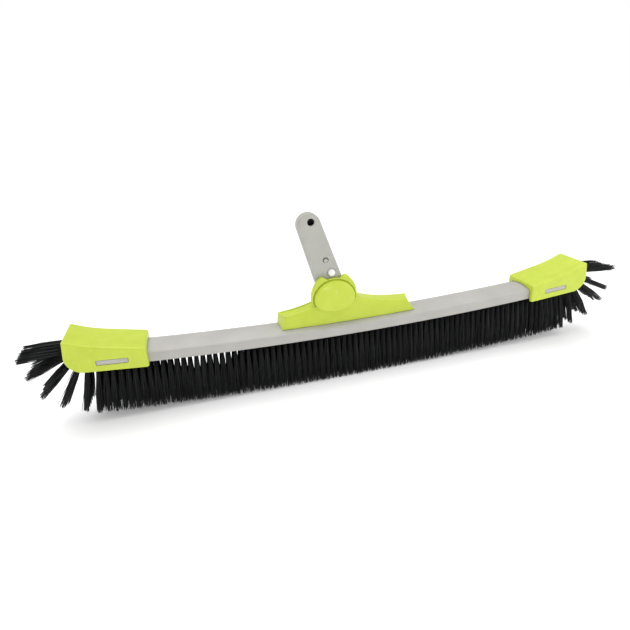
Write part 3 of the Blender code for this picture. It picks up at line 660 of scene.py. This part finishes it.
def end_caps():
    for side, word in SIDES:
        low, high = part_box(f"end_cap_{word}")
        corner = (CAP_END - CAP_CORNER, CAP_LOW[1] + CAP_CORNER)
        inner = (CAP_INNER + CAP_INNER_CORNER, CAP_LOW[0] + CAP_INNER_CORNER)
        outline = arc(inner, CAP_INNER_CORNER, 180, 270, 6) + arc(corner, CAP_CORNER, -90, 0, 16) + cap_top()
        cap = plate("cap", [(side * x, z) for x, z in outline], low.y, high.y)
        bevel(cap, CAP_EDGE, 4)
        roof = [(x, z) for x, z in cap_top(CAP_WALL) if x > FAN_ROOM_FROM]
        hollow = [(FAN_ROOM_FROM, 0.02), (CAP_END + FAR, 0.02), (CAP_END + FAR, roof[0][1] + 0.004)]
        hollow += roof + [(FAN_ROOM_FROM, roof[-1][1])]
        inside = high.y - CAP_WALL
        fan_room = plate("fan_room", [(side * x, z) for x, z in hollow], -inside, inside)
        bevel(fan_room, FAN_ROOM_EDGE, 3)
        combine(cap, [rail_room(CAP_MOUTH), fan_room, window("slot", side, WINDOW_SIZE, FAR)], 'DIFFERENCE')
        soften(cap, CAP_GRAIN, 4, 0.3)
        piece(cap, f"moulded_cap_{word}", "head", "lime_plastic", LIME, f"end_cap_{word}", angle=0)
        key = window("key", side, KEY_SIZE, high.y - KEY_INSET)
        bevel(key, KEY_EDGE, 3)
        bake(key)
        piece(key, f"moulded_key_{word}", "head", "key_plastic", KEY, f"cap_key_{word}")


# ---- handle bracket ------------------------------------------------------------------------------
def rim_outline():
    """The hub's rim: a notch on top between two stop lugs, falling away to the rim's own radius."""
    lug_end = NOTCH_HALF + LUG_SPAN
    floor_end, lug_start = (NOTCH_HALF + angle for angle in LUG_SLOPE)
    right = [polar(floor_end * i / 8, NOTCH_RADIUS) for i in range(8)]
    right += bezier(polar(floor_end, NOTCH_RADIUS), polar(lug_start, LUG_RADIUS + LUG_TIP[0]),
                    polar(lug_end, LUG_RADIUS + LUG_TIP[1]), 8)
    for i in range(1, 13):
        share = i / 12
        right.append(polar(lug_end + (90 - lug_end) * share,
                           LUG_RADIUS - (LUG_RADIUS - RIM_RADIUS) * share ** 0.7))
    flatten = (DISC_LOWER + RIM_BELOW) / RIM_RADIUS
    lower = [(x, z * flatten) for x, z in arc((0, 0), RIM_RADIUS, 0, -180, 40)[1:-1]]
    points = right + lower + [(-x, z) for x, z in right[:0:-1]]
    return [(PIVOT.x + x, PIVOT.z + z) for x, z in points]


def slot_outline():
    """Room for the tongue: round under its root, and wide above for its swing."""
    dip = math.degrees(math.asin(SLOT_DIP / SLOT_RADIUS))
    points = arc((0, 0), SLOT_RADIUS, 180 + dip, 360 - dip, 32)
    points += [(SLOT_SIDE, -SLOT_DIP), (SLOT_SIDE, FAR), (-SLOT_SIDE, FAR), (-SLOT_SIDE, -SLOT_DIP)]
    return [(PIVOT.x + x, PIVOT.z + z) for x, z in points]


def wing_tops():
    """The top lines of the left wing, from the hub out, and of the right wing, from its end in."""
    left = bezier((PIVOT.x - 0.016, 0.0965), (-0.0560, 0.0880), (BASE_LEFT + 0.0018, 0.0856), 16)
    right = bezier((BASE_RIGHT - 0.0066, 0.0852), (0.0270, 0.0868), (PIVOT.x + 0.028, 0.0985), 16)
    return left, right


def flare_base(mesh):
    """Widens the base towards the rail and cuts the front corners of its two ends back."""
    low = RAIL_LOW + RAIL_SIDE
    for vert in mesh.vertices:
        at_end = vert.co.x < BASE_LEFT + END_ZONE[0] or vert.co.x > BASE_RIGHT - END_ZONE[1]
        if at_end and vert.co.y < 0:
            share = min(1.0, (vert.co.z - low) / (BASE_WAIST - low))
            cut = BASE_CUT[0] + (BASE_CUT[1] - BASE_CUT[0]) * share
            vert.co.x -= math.copysign(cut, vert.co.x)
        vert.co.y = math.copysign(BASE_HALF + BASE_FLARE * (BASE_WAIST - vert.co.z), vert.co.y)


def bracket():
    low = RAIL_LOW + RAIL_SIDE
    left, right = wing_tops()
    right_end = straight((BASE_RIGHT, low), right[0], 8)
    left_end = straight(left[-1], (BASE_LEFT, low), 8)
    base = plate("base", right_end[:-1] + right + left + left_end[1:], -BASE_HALF, BASE_HALF)
    flare_base(base.data)
    bevel(base, BASE_EDGE, 3)
    troughs = []
    for line, end in ((left, left[-1][0] + TROUGH_END), (right[::-1], right[0][0] - TROUGH_END)):
        inside = [(x, z - TROUGH_DIP) for x, z in line if abs(x) < abs(end)]
        inside.append((end, inside[-1][1]))
        over = [(x, z + CLEAR) for x, z in inside[::-1]]
        trough = plate("trough", inside + over, -BASE_HALF + TROUGH_LIP, BASE_HALF - TROUGH_LIP)
        for vert in trough.data.vertices:
            if abs(vert.co.x - end) < TROUGH_END and vert.co.y < 0:
                vert.co.x -= math.copysign(BASE_CUT[1] * TROUGH_CUT, end)
        troughs.append(trough)
    combine(base, troughs, 'DIFFERENCE')
    rim = plate("rim", rim_outline(), RIM_FRONT, -0.001)
    bevel(rim, RIM_EDGE, 4)
    groove = plate("groove", oval(DISC_HALF + GROOVE, DISC_UPPER + GROOVE, DISC_LOWER + GROOVE_BELOW),
                   RIM_FRONT - CLEAR, RIM_FRONT + GROOVE_DEPTH)
    combine(rim, [groove], 'DIFFERENCE')
    disc = plate("disc", oval(DISC_HALF, DISC_UPPER, DISC_LOWER), CHEEK_FRONT, -0.006)
    bevel(disc, DISC_EDGE, 5)
    cheek = plate("cheek", oval(REAR_RADIUS, REAR_RADIUS, REAR_RADIUS), 0.004, CHEEK_BACK)
    bevel(cheek, CHEEK_EDGE, 4)
    combine(base, [rim, disc, cheek], 'UNION')
    slot = plate("slot", slot_outline(), SLOT_FRONT, SLOT_BACK)
    hole = drilled("pivot_hole", SCREW_RADIUS + GAP, -PIVOT_BORE, CHEEK_BACK + FAR, (PIVOT.x, PIVOT.z))
    cutters = [slot, hole, rail_room(BRACKET_MOUTH)]
    for x in BRACKET_SCREWS:
        seat = Matrix.Translation((x, 0, low + RAIL_CROWN + float(bow(x))))
        cutters.append(screw_hole(PILOT_RADIUS, PILOT_DEPTH, seat))
    combine(base, cutters, 'DIFFERENCE')
    soften(base, BRACKET_GRAIN, 3, 0.3)
    piece(base, "moulded_bracket", "head", "lime_plastic", LIME, "handle_bracket", angle=0)


# ---- tongue and lock -----------------------------------------------------------------------------
def tongue():
    outline = capsule(ROOT_CENTRE, TONGUE_ROOT, TIP_CENTRE, TONGUE_TIP)
    body = plate("tongue", outline, TONGUE_FRONT, TONGUE_BACK)
    bevel(body, TONGUE_EDGE, 5)
    cavity = capsule(CAVITY_LOW, CAVITY_RADIUS, TIP_CENTRE, TONGUE_TIP - TONGUE_WALL)
    rivet_hole = (RIVET_AT[0], RIVET_AT[1] + RIVET_HOLE[1])
    button_hole = (BUTTON_AT[0], BUTTON_AT[1] + BUTTON_HOLE[1])
    pocket_floor = TONGUE_FRONT + POCKET_DEPTH
    cutters = [plate("cavity", cavity, TONGUE_FRONT + TONGUE_FACE, TONGUE_BACK + FAR),
               drilled("front_pocket", POCKET_RADIUS, TONGUE_FRONT - FAR, pocket_floor, (0, 0)),
               drilled("rear_pocket", POCKET_RADIUS, TONGUE_BACK - POCKET_DEPTH, TONGUE_BACK + FAR, (0, 0)),
               drilled("bore", BUSH_RADIUS + GAP, -FAR, FAR, (0, 0)),
               drilled("clip_hole", CLIP_RADIUS, TONGUE_FRONT, 0.0, CLIP_HOLE, CLIP_CHAMFER),
               drilled("rivet_hole", RIVET_HOLE[0], TONGUE_FRONT - FAR, 0.0, rivet_hole),
               drilled("button_hole", BUTTON_RADIUS + BUTTON_HOLE[0], TONGUE_FRONT - FAR, 0.0, button_hole)]
    combine(body, cutters, 'DIFFERENCE')
    body.data.transform(ON_PIVOT)
    piece(body, "moulded_tongue", "tongue", "grey_plastic", GREY, "pole_tongue", angle=25)

    # Painted shade: the cover behind the clip hole is coloured black so that the hole reads dark.
    inner = capsule(CAVITY_LOW, CAVITY_RADIUS - GAP, TIP_CENTRE, TONGUE_TIP - TONGUE_WALL - GAP)
    back = TONGUE_BACK - GAP / 3
    cover = plate("cover", inner, back - COVER_THICK, back)
    bevel(cover, COVER_EDGE, 2)
    bake(cover)
    cover.data.transform(ON_PIVOT)
    piece(cover, "black_cover_as_hole_shade", "tongue", "black_block", BLOCK_AND_HOLE_SHADE, "tongue_cover", angle=25)


def button():
    head = -TONGUE_FRONT + BUTTON_PROUD
    flange = -(TONGUE_FRONT + TONGUE_FACE) - GAP
    dome = [(BUTTON_RADIUS * math.sin(math.radians(a)), head - DOME_HEIGHT * (1 - math.cos(math.radians(a))))
            for a in range(0, 91, 9)]
    profile = dome + [(BUTTON_RADIUS, flange), (FLANGE_RADIUS, flange),
                      (FLANGE_RADIUS, flange - FLANGE_THICK), (0, flange - FLANGE_THICK)]
    turn = ON_PIVOT @ Matrix.Translation((BUTTON_AT[0], 0, BUTTON_AT[1])) @ FACING_FRONT
    obj = turned("button", profile, turn)
    piece(obj, "domed_button", "button", "white_plastic", WHITE, "lock_button")


def rivet():
    """A low crowned head in the tongue's face, a neck through the spring and a closed end behind it."""
    head = -TONGUE_FRONT - RIVET_SUNK
    profile = [(0, head), (0.0019, head - 0.0001), (0.0025, head - 0.0005), (RIVET_RADIUS, head - 0.0009),
               (RIVET_RADIUS, GAP), (RIVET_NECK, GAP), (RIVET_NECK, -0.0011), (TAIL_RADIUS, -0.0011),
               (TAIL_RADIUS, -0.0018), (0.0022, -0.0023), (0, -0.0025)]
    turn = ON_PIVOT @ Matrix.Translation((RIVET_AT[0], 0, RIVET_AT[1])) @ FACING_FRONT
    piece(turned("rivet", profile, turn), "flush_rivet", "tongue", "grey_rivet", RIVET, "spring_rivet")


def finish_cad_nodes():
    """Materials for the model's own solids that stay."""
    finishes = {"bristle_block": BLOCK_AND_HOLE_SHADE, "pivot_screw": STEEL, "lock_spring": SPRING,
                "pivot_bush": BRASS, "friction_washer_front": WASHER, "friction_washer_rear": WASHER}
    for i in range(len(BRACKET_SCREWS)):
        finishes[f"bracket_screw_{i + 1}"] = STEEL
    for name, mat in finishes.items():
        for slot in frame["nodes"][name].material_slots:
            slot.material = mat


# ---- stage ---------------------------------------------------------------------------------------
ROOM_LIGHT = 0.55            # strength of the white room around the brush, as the surfaces see it


def camera():
    """The view: 24 degrees above the head and 14 degrees round to its left."""
    azimuth, elevation, roll = (math.radians(a) for a in (-13.94, 24.38, -3.07))
    back = Vector((math.sin(azimuth) * math.cos(elevation), -math.cos(azimuth) * math.cos(elevation),
                   math.sin(elevation)))
    level = Vector((math.cos(azimuth), math.sin(azimuth), 0.0))
    upright = back.cross(level)
    right = math.cos(roll) * level + math.sin(roll) * upright
    up = math.cos(roll) * upright - math.sin(roll) * level
    data = bpy.data.cameras.new("camera")
    data.lens = 26.87
    data.sensor_width = 36.0
    data.clip_start = 0.01
    obj = link(bpy.data.objects.new("camera", data))
    turn = Matrix((right, up, back)).transposed().to_4x4()
    obj.matrix_world = Matrix.Translation((-0.16208, -0.47716, 0.30153)) @ turn
    bpy.context.scene.camera = obj


def area_light(name, at, size, power):
    data = bpy.data.lights.new(name, 'AREA')
    data.size = size
    data.energy = power
    obj = link(bpy.data.objects.new(name, data))
    obj.location = at
    obj.rotation_euler = (Vector((0, 0, 0.05)) - Vector(at)).to_track_quat('-Z', 'Y').to_euler()


def stage():
    scene = bpy.context.scene
    scene.view_settings.view_transform = 'Standard'
    world = bpy.data.worlds.new("studio")
    world.use_nodes = True
    tree = world.node_tree
    sky = tree.nodes["Background"]
    sky.inputs["Color"].default_value = (1.0, 1.0, 1.0, 1.0)
    seen = tree.nodes.new('ShaderNodeLightPath').outputs['Is Camera Ray']
    tree.links.new(spread(tree, seen, ROOM_LIGHT, 1.0, 0.0, 1.0), sky.inputs["Strength"])
    scene.world = world
    ceiling = bpy.data.lights.new("ceiling", 'SUN')
    ceiling.energy = 2.0
    ceiling.angle = math.radians(70)
    link(bpy.data.objects.new("ceiling", ceiling)).rotation_euler = (math.radians(-12), math.radians(-10), 0)
    area_light("key", (0.75, -0.75, 0.5), 0.6, 2.4)
    area_light("fill", (-0.9, -0.9, 1.2), 0.9, 0.8)
    shape = bmesh.new()
    bmesh.ops.create_grid(shape, x_segments=1, y_segments=1, size=30.0)
    floor = link(bpy.data.objects.new("floor", closed_mesh("floor", shape)))
    paper = surface("floor_paper", (0.97, 0.97, 0.97), (0.98, 0.98, 0.98), (0.85, 0.95), patch=3.0,
                    relief=0.0, fixed=(('Emission Color', (1.0, 1.0, 1.0, 1.0)), ('Emission Strength', 0.17)))
    floor.data.materials.append(paper)


camera()
stage()
bristles()
rail()
end_caps()
bracket()
tongue()
button()
rivet()
finish_cad_nodes()
